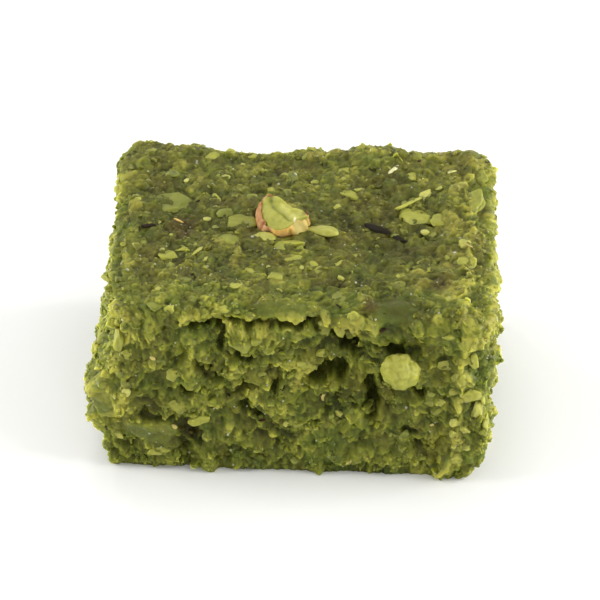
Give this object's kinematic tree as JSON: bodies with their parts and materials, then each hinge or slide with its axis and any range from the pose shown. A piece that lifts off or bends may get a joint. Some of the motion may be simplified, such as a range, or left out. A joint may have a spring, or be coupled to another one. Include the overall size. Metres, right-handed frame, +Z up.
{
  "type": "pistachio burfi",
  "caption": "Cut rectangular block of dense ground-pistachio sweet with rough, crumbly cut sides, a pressed top and a chopped slice of pistachio kernel set into the top.",
  "frame": {"origin": "centre of the bounding box's underside, which the block rests on", "axes": "+X along the block's long side, +Y towards its back, +Z up through the thickness to the face that carries the kernel slice"},
  "size_m": [0.038, 0.03, 0.0199],
  "materials": {
    "pistachio_paste": "moist crumbly nut paste, satin",
    "pistachio_kernel": "cut nut flesh, slightly oily"
  },
  "bodies": {
    "root": {"burfi_block": "pistachio_paste", "pistachio_slice": "pistachio_kernel"}
  },
  "joints": []
}
